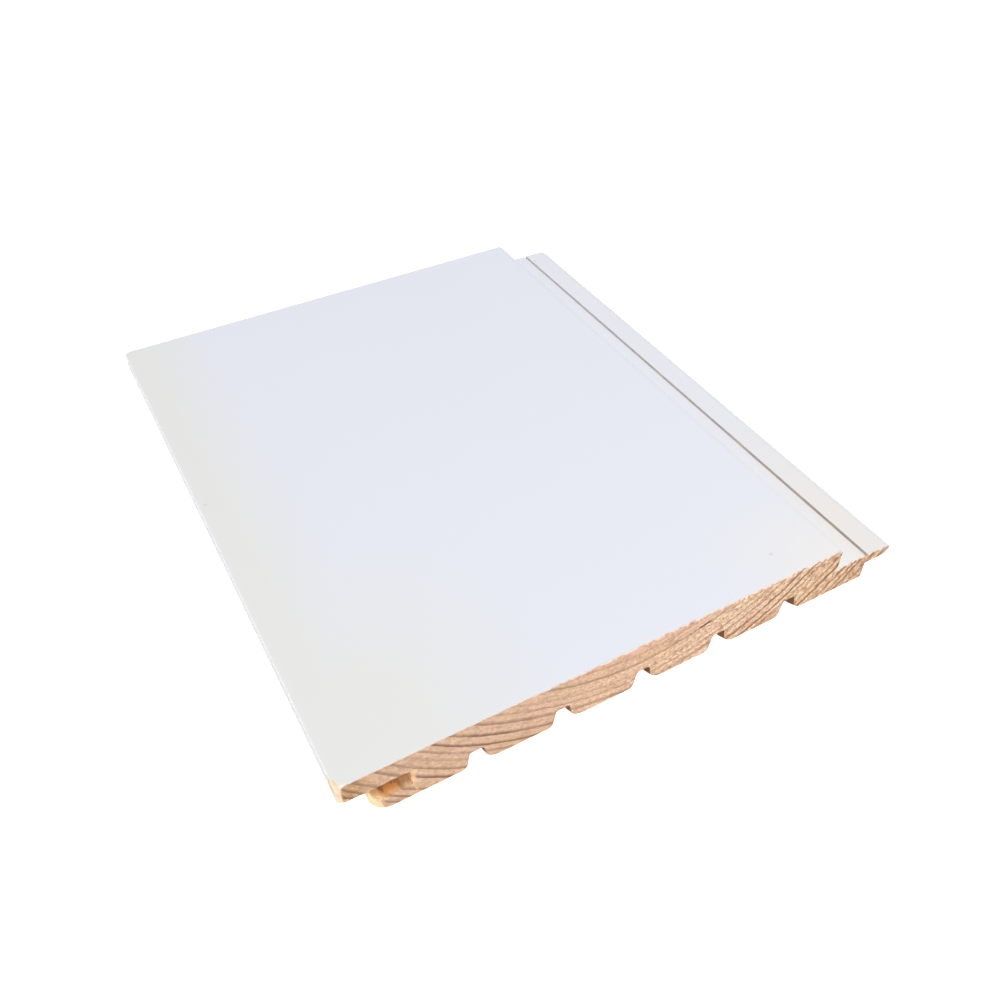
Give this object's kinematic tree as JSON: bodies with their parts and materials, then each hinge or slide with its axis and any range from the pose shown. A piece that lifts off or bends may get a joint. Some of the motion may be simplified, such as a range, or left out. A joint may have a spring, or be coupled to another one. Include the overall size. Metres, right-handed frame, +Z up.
{
  "type": "tongue and groove board",
  "caption": "Short length of white painted softwood lining board with a tongue, a groove, a shadow gap rebate and relief grooves along its back.",
  "frame": {"origin": "middle of the board's box, on the plane of its back", "axes": "+X across the board towards the tongue edge, +Y along its length, +Z up out of the painted face"},
  "size_m": [0.146, 0.165, 0.015],
  "materials": {
    "painted_pine": "satin white paint on the face, the rebate and the top of the tongue; bare planed pine on the back and in the groove; bare sawn ends"
  },
  "bodies": {
    "root": {"tongue_and_groove_board": "painted_pine"}
  },
  "joints": []
}
